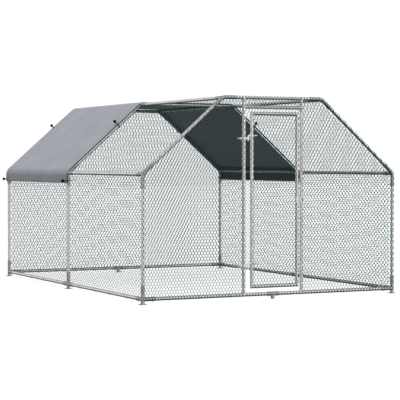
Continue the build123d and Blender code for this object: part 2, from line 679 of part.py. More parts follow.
with BuildPart() as hasp_leaf:
    with BuildSketch(Plane.XZ.offset(BAY + PLATE_BACK)):
        with Locations(((LEAF_X0 + HASP_X - 3.8) / 2, HASP_Z)):
            Rectangle(HASP_X - 3.8 - LEAF_X0, 2 * LEAF_HALF)
    extrude(amount=PLATE_FRONT - PLATE_BACK)
    for low, high in OUTER_KNUCKLES:
        with BuildSketch(Plane.XZ.offset(BAY + PLATE_BACK)):
            with Locations((HASP_X - 3.0, (low + high) / 2)):
                Rectangle(6.0, high - low)
        extrude(amount=PLATE_FRONT - PLATE_BACK)
        with BuildSketch(Plane(origin=(HASP_X, HASP_Y, low), z_dir=(0, 0, 1))):
            Circle(KNUCKLE_R)
        extrude(amount=high - low)
    with BuildSketch(Plane(origin=(HASP_X, HASP_Y, HASP_Z - 40), z_dir=(0, 0, 1))):
        Circle(2.02)
    extrude(amount=80, mode=Mode.SUBTRACT)
save(hasp_leaf, "hasp_leaf")

with BuildPart() as hasp_pin:
    with BuildSketch(Plane(origin=(HASP_X, HASP_Y, HASP_Z - LEAF_HALF - 1.5), z_dir=(0, 0, 1))):
        Circle(2.0)
    extrude(amount=2 * LEAF_HALF + 3)
    with BuildSketch(Plane(origin=(HASP_X, HASP_Y, HASP_Z + LEAF_HALF + 0.1), z_dir=(0, 0, 1))):
        Circle(3.2)
    extrude(amount=1.6)
    with BuildSketch(Plane(origin=(HASP_X, HASP_Y, HASP_Z - LEAF_HALF - 0.1), z_dir=(0, 0, -1))):
        Circle(3.2)
    extrude(amount=1.6)
save(hasp_pin, "hasp_pin")

FLAP_X0 = HASP_X + 4.3
with BuildPart() as hasp_flap:
    with BuildSketch(Plane.XZ.offset(BAY + FLAP_BACK)):
        with BuildLine():
            FilletPolyline(
                (FLAP_X0, HASP_Z - FLAP_HALF),
                (FLAP_END_X, HASP_Z - FLAP_HALF),
                (FLAP_END_X, HASP_Z + FLAP_HALF),
                (FLAP_X0, HASP_Z + FLAP_HALF),
                radius=26.0,
            )
            Line((FLAP_X0, HASP_Z + FLAP_HALF), (FLAP_X0, HASP_Z - FLAP_HALF))
        make_face()
        with Locations((321.5, HASP_Z)):
            RectangleRounded(16.0, 32.0, 4.0, mode=Mode.SUBTRACT)
    extrude(amount=FLAP_T)
    with BuildSketch(Plane.XZ.offset(BAY + FLAP_BACK)):
        with Locations(((HASP_X + FLAP_X0) / 2, HASP_Z)):
            Rectangle(FLAP_X0 - HASP_X, INNER_KNUCKLE[1] - INNER_KNUCKLE[0])
    extrude(amount=FLAP_T)
    with BuildSketch(Plane(origin=(HASP_X, HASP_Y, INNER_KNUCKLE[0]), z_dir=(0, 0, 1))):
        Circle(KNUCKLE_R)
    extrude(amount=INNER_KNUCKLE[1] - INNER_KNUCKLE[0])
    with BuildSketch(Plane(origin=(HASP_X, HASP_Y, HASP_Z - 40), z_dir=(0, 0, 1))):
        Circle(2.06)
    extrude(amount=80, mode=Mode.SUBTRACT)
save(hasp_flap, "hasp_flap")

with BuildPart() as staple_plate:
    with BuildSketch(Plane.XZ.offset(BAY + PLATE_BACK)):
        with Locations((JAMB_X, HASP_Z)):
            RectangleRounded(40.0, 50.0, 5.0)
            Circle(STAPLE_BORE_R, mode=Mode.SUBTRACT)
    extrude(amount=PLATE_FRONT - PLATE_BACK)
save(staple_plate, "staple_plate")

STAPLE_NECK = FLAP_BACK + FLAP_T + 0.6
STAPLE_HEAD = 12.0
with BuildPart() as turn_staple:
    with BuildSketch(Plane(origin=(JAMB_X, FRONT_Y + TUBE_R + 0.4, HASP_Z), z_dir=(0, 1, 0))):
        Circle(8.0)
    extrude(amount=2.6)
    with BuildSketch(Plane(origin=(JAMB_X, FRONT_Y + TUBE_R + 0.4, HASP_Z), z_dir=(0, -1, 0))):
        Circle(STAPLE_R)
    extrude(amount=TUBE_R + 0.4 + STAPLE_NECK - 0.05)
    # the head is a piece of its own, riveted on the end of the shank
    with BuildSketch(Plane(origin=(JAMB_X - 3.5, FRONT_Y - STAPLE_NECK - STAPLE_HEAD / 2, HASP_Z), x_dir=(0, 1, 0), z_dir=(1, 0, 0))):
        RectangleRounded(STAPLE_HEAD, 26.0, 3.5)
        with Locations((-0.5, 6.5), (-0.5, -6.5)):
            Circle(3.5, mode=Mode.SUBTRACT)
    extrude(amount=7.0)
save(turn_staple, "turn_staple")

# ---------------------------------------------------------------- roof cover
EYELETS = []
for y in (EYELET_MID_Y, BAY + EYELET_REAR_Y):
    for side in SIDES.values():
        EYELETS.append(((side * HALF, y, TIE_HEM_Z), (float(side), 0.0, 0.0)))
        EYELETS.append((slope_point(side, y, TIE_SLOPE), slope_normal(side)))

with BuildPart() as roof_cover:
    with BuildSketch(Plane.XZ.offset(-COVER_Y0)):
        with BuildLine():
            inner = arch_line(COVER_IN, HEM_Z)
            outer = arch_line(COVER_IN + COVER_T, HEM_Z)
            FilletPolyline(inner, radius=BEND_R + COVER_IN)
            FilletPolyline(outer, radius=BEND_R + COVER_IN + COVER_T)
            Line(inner[0], outer[0])
            Line(inner[-1], outer[-1])
        make_face()
    extrude(amount=-(COVER_Y1 - COVER_Y0))
    with BuildSketch(*[Plane(origin=point, z_dir=normal) for point, normal in EYELETS]):
        Circle(EYELET_R)
    extrude(amount=COVER_IN + 10, mode=Mode.SUBTRACT)
save(roof_cover, "roof_cover")

# ---------------------------------------------------------------- elastic ball ties
LOOP_MID = [
    (60.0, 4.0), (28.5, EYELET_MID_Y), (8.0, EYELET_MID_Y), (-24.2, 15.0),
    (-24.2, -13.0), (-6.0, -24.5), (22.0, -24.5), (60.0, -4.0),
]
LOOP_REAR = [
    (60.0, -4.0), (28.5, EYELET_REAR_Y), (2.0, EYELET_REAR_Y), (-23.2, -15.0),
    (-23.2, 15.0), (2.0, 31.0), (26.0, 31.0), (60.0, 4.0),
]
tie_planes = []
for y, loop in ((0.0, LOOP_MID), (BAY, LOOP_REAR)):
    for side in SIDES.values():
        for centre, normal in (
            ((side * HALF, y, TIE_HEM_Z), (float(side), 0.0, 0.0)),
            (slope_point(side, y, TIE_SLOPE), slope_normal(side)),
        ):
            across = Vector(*normal).cross(Vector(0, 1, 0))
            tie_planes.append((Plane(origin=centre, x_dir=normal, z_dir=across), loop))

tie_lines = []
for plane, loop in tie_planes:
    with BuildLine(plane) as tie_line:
        FilletPolyline(*loop, radius=5.0, close=True)
    tie_lines.append(tie_line)

with BuildPart() as bungee_ties:
    for (plane, loop), tie_line in zip(tie_planes, tie_lines):
        wire = tie_line.wire()
        with BuildSketch(Plane(origin=wire @ 0, z_dir=wire % 0)):
            Circle(CORD_R)
        sweep(path=wire)
        with Locations(plane.from_local_coords(Vector(BALL_OUT, 0, 0))):
            Sphere(BALL_R)
save(bungee_ties, "bungee_ties")

# ---------------------------------------------------------------- netting rings
RINGS = []
RAIL_Y = [way * y for way in (-1, 1) for y in (330.0, 730.0, 1130.0, 1560.0)]
for side in SIDES.values():
    inner = Vector(-side, 0, 0)
    for y in RAIL_Y:
        RINGS.append((Vector(side * HALF, y, BASE_Z), Vector(0, 1, 0), inner))
        RINGS.append((Vector(*eave_rail_at(side, y)), Vector(0, 1, 0), Vector(side * N_EAVE[0], 0, -N_EAVE[1])))
        RINGS.append((Vector(*top_rail_at(side, y)), Vector(0, 1, 0), Vector(side * N_TOP[0], 0, -N_TOP[1])))
    for y in ARCHES.values():
        # the gable arches hold the gable netting, the middle arch holds the strips
        gable_out = Vector(0, y / BAY, 0)
        for z in (360.0, 660.0, 960.0):
            RINGS.append((Vector(side * HALF, y, z), Vector(0, 0, 1), gable_out if y else inner))
        for along in (300.0, 530.0, 880.0):
            run = Vector(-side * cos(SLOPE_A), 0, sin(SLOPE_A))
            under = Vector(*slope_normal(side)) * -1
            RINGS.append((Vector(*slope_point(side, y, along)), run, gable_out if y else under))
        RINGS.append((Vector(side * 200.0, y, TOP_Z), Vector(1, 0, 0), gable_out if y else Vector(0, 0, -1)))
    RINGS.append((Vector(side * 190.0, -BAY, BASE_Z), Vector(1, 0, 0), Vector(0, -1, 0)))
    for x in (480.0, 800.0, 1120.0):
        RINGS.append((Vector(side * x, -BAY, BASE_Z), Vector(1, 0, 0), Vector(0, -1, 0)))
        RINGS.append((Vector(side * x, BAY, BASE_Z), Vector(1, 0, 0), Vector(0, 1, 0)))
    for z in (510.0, 1210.0, 1710.0):
        RINGS.append((Vector(side * JAMB_X, FRONT_Y, z), Vector(0, 0, 1), Vector(0, -1, 0)))
    RINGS.append((Vector(side * 150.0, FRONT_Y, LINTEL_Z), Vector(1, 0, 0), Vector(0, -1, 0)))

with BuildPart() as netting_rings:
    for at, along, out in RINGS:
        centre = at + out * RING_SHIFT
        with BuildSketch(Plane(origin=centre, x_dir=out, z_dir=out.cross(along))):
            with Locations((RING_R, 0)):
                RegularPolygon(RING_WIRE_R, 8)
        revolve(axis=Axis(centre, along))
save(netting_rings, "netting_rings")
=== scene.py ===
import json
import math

import bpy
import numpy as np
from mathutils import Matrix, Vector


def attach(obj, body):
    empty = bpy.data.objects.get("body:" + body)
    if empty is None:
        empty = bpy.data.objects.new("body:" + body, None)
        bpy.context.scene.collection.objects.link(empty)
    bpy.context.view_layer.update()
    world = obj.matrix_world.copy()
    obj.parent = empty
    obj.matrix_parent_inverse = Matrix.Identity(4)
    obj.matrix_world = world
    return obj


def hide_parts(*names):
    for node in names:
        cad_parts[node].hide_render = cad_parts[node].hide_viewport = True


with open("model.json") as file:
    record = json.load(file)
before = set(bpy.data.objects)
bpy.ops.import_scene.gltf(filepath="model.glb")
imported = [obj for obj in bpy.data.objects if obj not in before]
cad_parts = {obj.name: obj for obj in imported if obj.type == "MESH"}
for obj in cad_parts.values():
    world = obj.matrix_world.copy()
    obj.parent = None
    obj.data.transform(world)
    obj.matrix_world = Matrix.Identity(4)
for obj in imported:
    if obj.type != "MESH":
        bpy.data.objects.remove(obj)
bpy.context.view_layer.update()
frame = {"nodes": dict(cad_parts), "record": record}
nodes = frame["nodes"]
scene = bpy.context.scene
rng = np.random.default_rng(41)

# ---------------------------------------------------------------- sizes, metres
HALF, BAY = 1.385, 1.925
BASE_Z, EAVE_Z, TOP_Z, TOP_HALF = 0.0505, 1.222, 1.952, 0.546
BEND_R = 0.090
SLOPE_A = math.atan2(TOP_Z - EAVE_Z, HALF - TOP_HALF)
SLOPE_L = math.hypot(TOP_Z - EAVE_Z, HALF - TOP_HALF)
TURN_E, TURN_T = math.pi / 2 - SLOPE_A, SLOPE_A
TAN_E, TAN_T = BEND_R * math.tan(TURN_E / 2), BEND_R * math.tan(TURN_T / 2)
NET_OUT, NET_LOW = 0.02015, 0.040
STRIP_OUT, STRIP_Y = -0.0208, BAY - 0.0197  # the long strips lie inside the tubes
OVER, LEAF_OVER, INNER_X = 0.0108, 0.012, 0.310  # how far the gable netting and the door netting reach over the tubes
JAMB_X, LINTEL_Z = 0.320, 1.862
STILE_L, STILE_R, DOOR_LOW, DOOR_HIGH = -0.232, 0.270, 0.127, 1.800
HASP_Z = 0.962
RING_Z = (0.51, 1.21, 1.71)
COVER_OUT, COVER_Y0, COVER_Y1, HEM_Z = 0.0239, -0.012, 1.950, 1.112
TIE_HEM_Z, TIE_SLOPE = 1.136, 0.756
EYELET_Y = (0.033, 1.8995)
# near-black strip along the cover's front edge, painted shade standing for the shadowed gap where the cover's edge
# meets the tube, drawn down over the middle arch: from the edge, away from the cover's line left and right
EDGE_SHADE_STRIP = [(-0.0033, -0.0109, -0.0109), (-0.0015, -0.0064, -0.0018), (0.009, -0.0024, -0.0010)]

# netting meshes: width between twists, repeat along the twists, length of a twist
LEFT_MESH = (0.0324, 0.0558, 0.0189)
FRONT_MESH = (0.0324, 0.0571, 0.0194)
RIGHT_MESH = (0.0324, 0.0585, 0.0199)
GABLE_PULL = 0.064  # how much wider the gables' meshes are pulled per metre to the right
REAR_MESH = (0.0386, 0.0726, 0.0248)
WALL_MESH = (0.0430, 0.0660, 0.0206)
ROOF_MESH = (0.0360, 0.0700, 0.0246)
COVERAGE = 0.210  # part of the area that the wires cover
TWIST_RATIO = 2.1  # width of the two twisted wires over that of one
# how flat the wires of the strips are
FLAT = {"top_netting": 0.05, "left_roof_netting": 0.35, "right_roof_netting": 0.35, "left_wall_netting": 0.5, "right_wall_netting": 0.5}


# studio: brightness by height (sine of the elevation), the dimmer far side, the front key, the overhead light
SKY = [(-1.0, 0.05), (1.0, 0.70), (-0.45, 0.04), (-0.16, 0.44), (0.0, 1.42), (0.20, 1.03), (0.50, 0.58)]
FAR = 1.0
SIDE, SIDE_LIGHT = (0.80, -0.60, 0.0), 0.35
DARK, DARK_LIGHT = (-1.0, 0.0, 0.0), -0.13
KEY, KEY_LIGHT = (0.15, -0.90, 0.42), 0.1
OVERHEAD = 1.9
BOUNCE = 2.0  # light that the pale floor throws up


# ---------------------------------------------------------------- materials
def principled(name):
    mat = bpy.data.materials.new(name)
    mat.use_nodes = True
    return mat, mat.node_tree, mat.node_tree.nodes["Principled BSDF"]


def fine_relief(tree, bsdf, coord, scale, strength, depth):
    """Small unevenness of a surface, as relief and in the gloss."""
    grain = tree.nodes.new("ShaderNodeTexNoise")
    grain.inputs["Scale"].default_value = scale
    grain.inputs["Detail"].default_value = 2.0
    tree.links.new(coord, grain.inputs["Vector"])
    bump = tree.nodes.new("ShaderNodeBump")
    bump.inputs["Strength"].default_value = strength
    bump.inputs["Distance"].default_value = depth
    tree.links.new(grain.outputs["Fac"], bump.inputs["Height"])
    tree.links.new(bump.outputs["Normal"], bsdf.inputs["Normal"])
    return grain


def galvanised(name, dark, light, rough, metal, spangle):
    """Zinc coat: crystal flakes and soft clouds in the colour, uneven gloss, a little relief."""
    mat, tree, bsdf = principled(name)
    coord = tree.nodes.new("ShaderNodeTexCoord").outputs["Object"]
    flakes = tree.nodes.new("ShaderNodeTexVoronoi")
    flakes.inputs["Scale"].default_value = spangle
    tree.links.new(coord, flakes.inputs["Vector"])
    tone = tree.nodes.new("ShaderNodeSeparateColor")
    tree.links.new(flakes.outputs["Color"], tone.inputs["Color"])
    clouds = tree.nodes.new("ShaderNodeTexNoise")
    clouds.inputs["Scale"].default_value = 11.0
    clouds.inputs["Detail"].default_value = 3.0
    tree.links.new(coord, clouds.inputs["Vector"])
    both = tree.nodes.new("ShaderNodeMix")
    both.inputs["Factor"].default_value = 0.55
    tree.links.new(tone.outputs["Red"], both.inputs["A"])
    tree.links.new(clouds.outputs["Fac"], both.inputs["B"])
    ramp = tree.nodes.new("ShaderNodeValToRGB")
    ramp.color_ramp.elements[0].position, ramp.color_ramp.elements[1].position = 0.2, 0.8
    ramp.color_ramp.elements[0].color = (*dark, 1)
    ramp.color_ramp.elements[1].color = (*light, 1)
    tree.links.new(both.outputs["Result"], ramp.inputs["Fac"])
    tree.links.new(ramp.outputs["Color"], bsdf.inputs["Base Color"])
    gloss = tree.nodes.new("ShaderNodeMapRange")
    gloss.inputs["To Min"].default_value, gloss.inputs["To Max"].default_value = rough - 0.07, rough + 0.07
    tree.links.new(clouds.outputs["Fac"], gloss.inputs["Value"])
    tree.links.new(gloss.outputs["Result"], bsdf.inputs["Roughness"])
    fine_relief(tree, bsdf, coord, 260.0, 0.12, 0.0004)
    bsdf.inputs["Metallic"].default_value = metal
    return mat


def plain(name, colour, rough, metal, scale, specular=0.5):
    """One colour, with an uneven gloss and a fine relief."""
    mat, tree, bsdf = principled(name)
    coord = tree.nodes.new("ShaderNodeTexCoord").outputs["Object"]
    grain = fine_relief(tree, bsdf, coord, scale, 0.15, 0.0003)
    gloss = tree.nodes.new("ShaderNodeMapRange")
    gloss.inputs["To Min"].default_value, gloss.inputs["To Max"].default_value = rough - 0.1, rough + 0.1
    tree.links.new(grain.outputs["Fac"], gloss.inputs["Value"])
    tree.links.new(gloss.outputs["Result"], bsdf.inputs["Roughness"])
    bsdf.inputs["Base Color"].default_value = (*colour, 1)
    bsdf.inputs["Metallic"].default_value = metal
    bsdf.inputs["Specular IOR Level"].default_value = specular
    return mat


def cloth(name, dark, light, rough, specular):
    """Woven sheet: faint clouds and a fine grain in its tone, and the weave in relief along the cloth's own directions."""
    mat, tree, bsdf = principled(name)
    coord = tree.nodes.new("ShaderNodeTexCoord")
    noise = tree.nodes.new("ShaderNodeTexNoise")
    noise.inputs["Scale"].default_value = 3.0
    noise.inputs["Detail"].default_value = 5.0
    ramp = tree.nodes.new("ShaderNodeValToRGB")
    ramp.color_ramp.elements[0].position, ramp.color_ramp.elements[1].position = 0.3, 0.7
    ramp.color_ramp.elements[0].color = (*dark, 1)
    ramp.color_ramp.elements[1].color = (*light, 1)
    tree.links.new(coord.outputs["Object"], noise.inputs["Vector"])
    grain = tree.nodes.new("ShaderNodeTexNoise")
    grain.inputs["Scale"].default_value = 55.0
    grain.inputs["Detail"].default_value = 2.0
    tone = tree.nodes.new("ShaderNodeMix")
    tone.inputs["Factor"].default_value = 0.6
    tree.links.new(coord.outputs["Object"], grain.inputs["Vector"])
    tree.links.new(noise.outputs["Fac"], tone.inputs["A"])
    tree.links.new(grain.outputs["Fac"], tone.inputs["B"])
    tree.links.new(tone.outputs["Result"], ramp.inputs["Fac"])
    tree.links.new(ramp.outputs["Color"], bsdf.inputs["Base Color"])
    weave = []
    for way in ("X", "Y"):
        yarn = tree.nodes.new("ShaderNodeTexWave")
        yarn.bands_direction = way
        yarn.inputs["Scale"].default_value = 125.0
        yarn.inputs["Distortion"].default_value = 0.4
        tree.links.new(coord.outputs["UV"], yarn.inputs["Vector"])
        weave.append(yarn)
    over = tree.nodes.new("ShaderNodeMath")
    over.operation = "MULTIPLY"
    tree.links.new(weave[0].outputs["Fac"], over.inputs[0])
    tree.links.new(weave[1].outputs["Fac"], over.inputs[1])
    bump = tree.nodes.new("ShaderNodeBump")
    bump.inputs["Strength"].default_value = 0.2
    bump.inputs["Distance"].default_value = 0.0004
    tree.links.new(over.outputs[0], bump.inputs["Height"])
    tree.links.new(bump.outputs["Normal"], bsdf.inputs["Normal"])
    bsdf.inputs["Roughness"].default_value = rough
    bsdf.inputs["Specular IOR Level"].default_value = specular
    return mat


tube_mat = galvanised("galvanised_tube", (0.75, 0.745, 0.74), (0.86, 0.855, 0.85), 0.32, 0.9, 95.0)
joint_mat = galvanised("galvanised_sleeve", (0.50, 0.505, 0.505), (0.60, 0.605, 0.605), 0.40, 0.9, 80.0)
zinc_mat = galvanised("zinc_hardware", (0.62, 0.61, 0.61), (0.74, 0.73, 0.73), 0.34, 0.9, 160.0)
bright_mat = galvanised("bright_zinc", (0.94, 0.94, 0.935), (0.99, 0.99, 0.985), 0.45, 0.15, 160.0)
wire_mat = plain("netting_wire", (0.100, 0.215, 0.222), 0.55, 0.0, 900.0, 0.2)
outer_mat = cloth("cover_outside", (0.362, 0.373, 0.399), (0.446, 0.459, 0.489), 0.8, 0.2)
inner_mat = cloth("cover_inside", (0.228, 0.202, 0.213), (0.247, 0.219, 0.231), 0.9, 0.05)
hem_mat = cloth("cover_hem", (0.38, 0.39, 0.415), (0.40, 0.41, 0.435), 0.85, 0.2)
# near-black cloth of the front-edge strip: painted shade for the shadow between the cover's edge and the tube
edge_shade_mat = cloth("cover_edge_painted_shade", (0.020, 0.020, 0.022), (0.028, 0.028, 0.030), 0.85, 0.1)
black_mat = plain("black_elastic", (0.005, 0.005, 0.0055), 0.6, 0.0, 700.0, 0.06)

for name, obj in nodes.items():
    slot = next(s["material_slot"] for s in frame["record"]["subparts"] if s["node"] == name)
    obj.data.materials.clear()
    obj.data.materials.append(
        {
            "galvanised_tube": tube_mat,
            "galvanised_connector": joint_mat,
            "zinc_hardware": zinc_mat,
            "wire_netting": wire_mat,
            "cover_cloth": outer_mat,
            "black_elastic": black_mat,
        }[slot]
    )
for name in ("hinge_eye_bolts", "hinge_pin_bolts"):
    nodes[name].data.materials.clear()
    nodes[name].data.materials.append(bright_mat)


# ---------------------------------------------------------------- outline of an arch
def outline(out, low):
    """Pieces of the arch outline moved outwards by out: (length, start, direction, turn radius or None)."""
    r = BEND_R + out
    run_top = 2 * (TOP_HALF - TAN_T)
    run_slope = SLOPE_L - TAN_E - TAN_T
    run_wall = EAVE_Z - TAN_E - low
    return [run_wall, r * TURN_E, run_slope, r * TURN_T, run_top, r * TURN_T, run_slope, r * TURN_E, run_wall], r


def walk(s, out, low):
    """Points (x, z) and outward normals at distances s along that outline, from the left foot of it."""
    lengths, r = outline(out, low)
    turns = [0, TURN_E, 0, TURN_T, 0, TURN_T, 0, TURN_E, 0]
    s = np.asarray(s, float)
    x = np.zeros_like(s)
    z = np.zeros_like(s)
    nx = np.zeros_like(s)
    nz = np.zeros_like(s)
    px, pz, heading, start = -HALF - out, low, math.pi / 2, 0.0
    for k, (length, turn) in enumerate(zip(lengths, turns)):
        first, last = k == 0, k == len(lengths) - 1
        inside = (s >= (-1e9 if first else start)) & (s < (1e9 if last else start + length))
        t = s[inside] - start
        if turn == 0:
            x[inside] = px + t * math.cos(heading)
            z[inside] = pz + t * math.sin(heading)
            nx[inside] = -math.sin(heading)
            nz[inside] = math.cos(heading)
            px, pz = px + length * math.cos(heading), pz + length * math.sin(heading)
        else:
            cx, cz = px + r * math.sin(heading), pz - r * math.cos(heading)
            a = heading - t / r
            x[inside] = cx - r * np.sin(a)
            z[inside] = cz + r * np.cos(a)
            nx[inside] = -np.sin(a)
            nz[inside] = np.cos(a)
            heading -= turn
            px, pz = cx - r * math.sin(heading), cz + r * math.cos(heading)
        start += length
    return x, z, nx, nz


# ---------------------------------------------------------------- netting
def lattice(u0, u1, v0, v1, mesh):
    """Hexagonal netting with its twists along v: segments (start, end, is_twist) in the plane."""
    width, repeat, twist_length = mesh
    row = repeat / 2
    rows = int(math.ceil((v1 - v0) / row)) + 2
    cols = int(math.ceil((u1 - u0) / width)) + 3
    k, i = np.meshgrid(np.arange(rows), np.arange(cols), indexing="ij")
    u = u0 - width + (i + 0.5 * (k % 2)) * width
    v = v0 - row / 2 + k * row
    shake = rng.normal(0, 0.00025, (2, 2, rows, cols)).clip(-0.0006, 0.0006)
    low = np.stack([u + shake[0, 0], v - twist_length / 2 + shake[0, 1]], -1)
    high = np.stack([u + shake[1, 0], v + twist_length / 2 + shake[1, 1]], -1)
    starts, ends, twist = [low.reshape(-1, 2)], [high.reshape(-1, 2)], [np.ones(rows * cols, bool)]
    for n in range(rows - 1):
        side = 0 if n % 2 else -1
        for d in (side, side + 1):
            a = np.arange(max(0, -d), cols - max(0, d))
            starts.append(high[n, a])
            ends.append(low[n + 1, a + d])
            twist.append(np.zeros(len(a), bool))
    return np.concatenate(starts), np.concatenate(ends), np.concatenate(twist)


def wire_width(mesh):
    """Width of one wire, so that the wires cover the stated part of the area."""
    width, repeat, twist_length = mesh
    slant = math.hypot(width / 2, repeat / 2 - twist_length)
    return COVERAGE * width * repeat / 2 / (TWIST_RATIO * twist_length + 2 * slant)


def clip(a, b, polygon):
    """The parts of the segments that lie inside a convex polygon given anticlockwise."""
    t0, t1 = np.zeros(len(a)), np.ones(len(a))
    d = b - a
    for p, q in zip(polygon, polygon[1:] + polygon[:1]):
        n = np.array([-(q[1] - p[1]), q[0] - p[0]])
        f = (a - np.array(p)) @ n
        g = d @ n
        with np.errstate(divide="ignore", invalid="ignore"):
            t = -f / g
        t0 = np.where(g > 1e-15, np.maximum(t0, t), t0)
        t1 = np.where(g < -1e-15, np.minimum(t1, t), t1)
        t1 = np.where((abs(g) <= 1e-15) & (f < 0), -1.0, t1)
    keep = t1 - t0 > 1e-6
    return (a + d * t0[:, None])[keep], (a + d * t1[:, None])[keep], keep


def prisms(a, b, normal, wide, thick, turns):
    """Closed four-sided wires from a to b in len(turns) - 1 steps; turns are the angles of the section at each step."""
    t = b - a
    t /= np.linalg.norm(t, axis=1)[:, None]
    side = np.cross(t, normal)
    side /= np.linalg.norm(side, axis=1)[:, None]
    up = np.cross(side, t)
    rings = []
    for n, angle in enumerate(turns):
        at = a + (b - a) * n / (len(turns) - 1)
        first = (math.cos(angle) * side + math.sin(angle) * up) * wide
        second = (math.cos(angle) * up - math.sin(angle) * side) * thick
        rings.append(at[:, None] + np.stack([second, first, -second, -first], 1))
    verts = np.concatenate(rings, 1)
    quads = [[4 * n + c, 4 * n + 4 + c, 4 * n + 4 + (c + 1) % 4, 4 * n + (c + 1) % 4] for n in range(len(turns) - 1) for c in range(4)]
    last = 4 * (len(turns) - 1)
    quads += [[0, 1, 2, 3], [last + 3, last + 2, last + 1, last]]
    faces = np.arange(len(a))[:, None, None] * verts.shape[1] + np.array(quads)[None]
    return verts.reshape(-1, 3), faces.reshape(-1, 4)


def rods(name, a, b, normal, twist, wide, body, node, material, flat=None):
    """One mesh of netting wires from a to b: straight single wires, and twists as a turning flat pair, or all pressed flat."""
    ok = np.linalg.norm(b - a, axis=1) > 0.0004
    a, b, normal, twist = a[ok], b[ok], normal[ok], twist[ok]
    v1, f1 = prisms(a[~twist], b[~twist], normal[~twist], wide / 2, wide * 0.3 * (flat or 1.0), (0.0, 0.0))
    if flat:
        v2, f2 = prisms(a[twist], b[twist], normal[twist], wide * TWIST_RATIO / 2, wide * 0.5 * flat, (0.0, 0.0))
    else:
        pair = wide * TWIST_RATIO / 2 * 1.18
        v2, f2 = prisms(a[twist], b[twist], normal[twist], pair, pair * 0.5, (0.0, math.pi / 3, 2 * math.pi / 3, math.pi))
    verts, faces = np.concatenate([v1, v2]), np.concatenate([f1, f2 + len(v1)])
    mesh = bpy.data.meshes.new(name)
    mesh.vertices.add(len(verts))
    mesh.vertices.foreach_set("co", verts.astype(np.float32).ravel())
    mesh.loops.add(faces.size)
    mesh.loops.foreach_set("vertex_index", faces.astype(np.int32).ravel())
    mesh.polygons.add(len(faces))
    mesh.polygons.foreach_set("loop_start", np.arange(0, faces.size, 4, dtype=np.int32))
    mesh.update(calc_edges=True)
    mesh.validate()
    mesh.materials.append(material)
    obj = bpy.data.objects.new(name, mesh)
    scene.collection.objects.link(obj)
    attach(obj, body)
    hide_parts(node)
    return obj


def swell(u, v, amount):
    """A slow, slightly uneven fullness of the netting between the tubes."""
    return amount * (0.5 + 0.5 * np.sin(9.0 * u + 1.3) * np.sin(7.0 * v + 0.4))


lengths, _ = outline(STRIP_OUT, NET_LOW)
ends = np.cumsum([0.0] + lengths)
marks = [ends[0], (ends[1] + ends[2]) / 2, (ends[3] + ends[4]) / 2, (ends[5] + ends[6]) / 2, (ends[7] + ends[8]) / 2, ends[9]]
for name, s0, s1, mesh in zip(
    ("left_wall_netting", "left_roof_netting", "top_netting", "right_roof_netting", "right_wall_netting"),
    marks[:-1],
    marks[1:],
    (WALL_MESH, ROOF_MESH, ROOF_MESH, ROOF_MESH, WALL_MESH),
):
    # the strips run along the coop, and so do their twists
    a, b, twist = lattice(s0, s1, -STRIP_Y, STRIP_Y, mesh)
    a, b, keep = clip(a[:, ::-1], b[:, ::-1], [(-STRIP_Y, s0), (STRIP_Y, s0), (STRIP_Y, s1), (-STRIP_Y, s1)])
    placed = []
    for p in (a, b):
        x, z, nx, nz = walk(p[:, 1], STRIP_OUT, NET_LOW)
        edge = np.minimum.reduce([abs(p[:, 0] + BAY), abs(p[:, 0]), abs(p[:, 0] - BAY), p[:, 1] - s0 + 0.05, s1 - p[:, 1] + 0.05])
        lift = swell(p[:, 0], p[:, 1], 0.002) * np.clip(edge / 0.15, 0, 1) * np.where(p[:, 0] > -0.1, 0.1, 1.0)
        placed.append((np.stack([x - nx * lift, p[:, 0], z - nz * lift], -1), np.stack([nx, 0 * nx, nz], -1)))
    rods(
        name.replace("_netting", "_wire"), placed[0][0], placed[1][0], placed[0][1], twist[keep], wire_width(mesh),
        "frame", name, wire_mat, FLAT.get(name),
    )


def flat_netting(name, node, body, polygon, y, out, mesh, holes=(), amount=0.002, also=(), start=(0.0, 0.0)):
    """Netting in a plane of constant y; polygon is (x, z), convex and anticlockwise, also lists flat pieces beside it, start is where in a mesh it begins."""
    corners = np.array([p for part in (polygon, *also) for p in part])
    (x0, z0), (x1, z1) = corners.min(0), corners.max(0)
    u0, u1 = np.log1p(GABLE_PULL * np.array([x0, x1])) / GABLE_PULL
    a, b, twist = lattice(u0 - start[0] * mesh[0], u1, z0 - start[1] * mesh[1], z1, mesh)
    for p in (a, b):
        p[:, 0] = np.expm1(GABLE_PULL * p[:, 0]) / GABLE_PULL
    cut = [clip(a, b, part) for part in (polygon, *also)]
    a, b = np.concatenate([c[0] for c in cut]), np.concatenate([c[1] for c in cut])
    twist = np.concatenate([twist[c[2]] for c in cut])
    for hole in holes:
        mid = (a + b) / 2
        free = ~((mid[:, 0] > hole[0]) & (mid[:, 0] < hole[1]) & (mid[:, 1] > hole[2]) & (mid[:, 1] < hole[3]))
        a, b, twist = a[free], b[free], twist[free]
    placed = []
    for p in (a, b):
        edge = np.full(len(p), 9.0)
        for q, r in zip(polygon, polygon[1:] + polygon[:1]):
            q, r = np.array(q), np.array(r)
            n = np.array([-(r[1] - q[1]), r[0] - q[0]])
            edge = np.minimum(edge, (p - q) @ (n / np.linalg.norm(n)))
        lift = swell(p[:, 0], p[:, 1], amount) * np.clip(edge / 0.15, 0, 1)
        placed.append(np.stack([p[:, 0], y + out * lift, p[:, 1]], -1))
    normal = np.tile([0.0, float(out), 0.0], (len(a), 1))
    return rods(name, placed[0], placed[1], normal, twist, wire_width(mesh), body, node, wire_mat)


